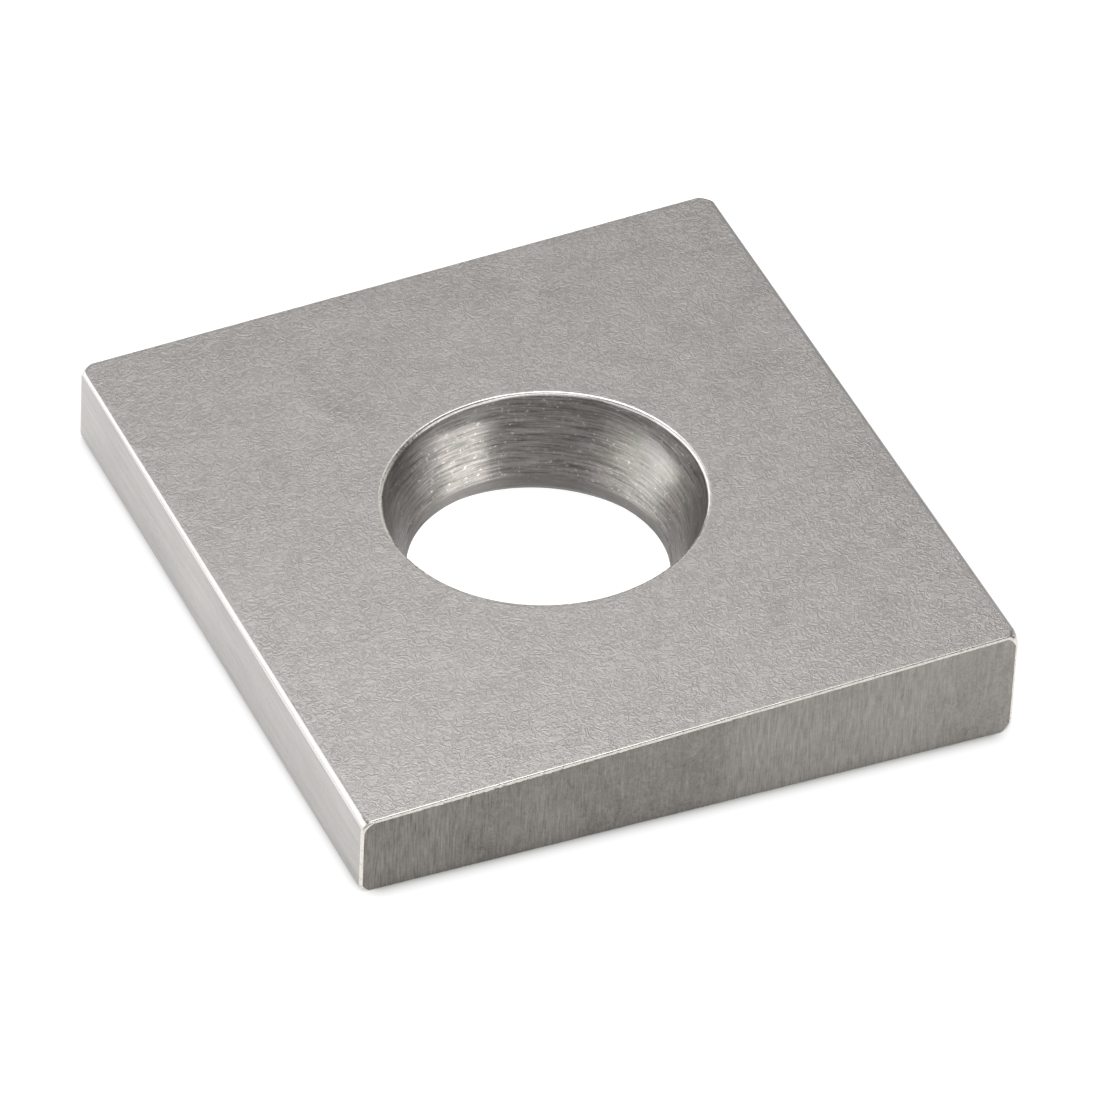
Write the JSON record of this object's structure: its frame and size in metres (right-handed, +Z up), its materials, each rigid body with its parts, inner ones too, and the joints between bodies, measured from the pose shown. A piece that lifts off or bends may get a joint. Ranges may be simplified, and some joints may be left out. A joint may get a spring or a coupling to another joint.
{
  "type": "taper washer",
  "caption": "Square steel wedge plate with a countersunk bolt hole; the slope lets a bolt seat squarely on a tapered flange.",
  "frame": {"origin": "on the bore's axis, in the flat underside, which is also the middle of the plate's outline", "axes": "+Z up out of the sloping face along the bore, +X along the taper to the thick edge, +Y across the taper to the far sawn face"},
  "size_m": [0.046, 0.05, 0.0082],
  "materials": {
    "washer_steel": "satin"
  },
  "bodies": {
    "root": {"taper_washer": "washer_steel"}
  },
  "joints": []
}
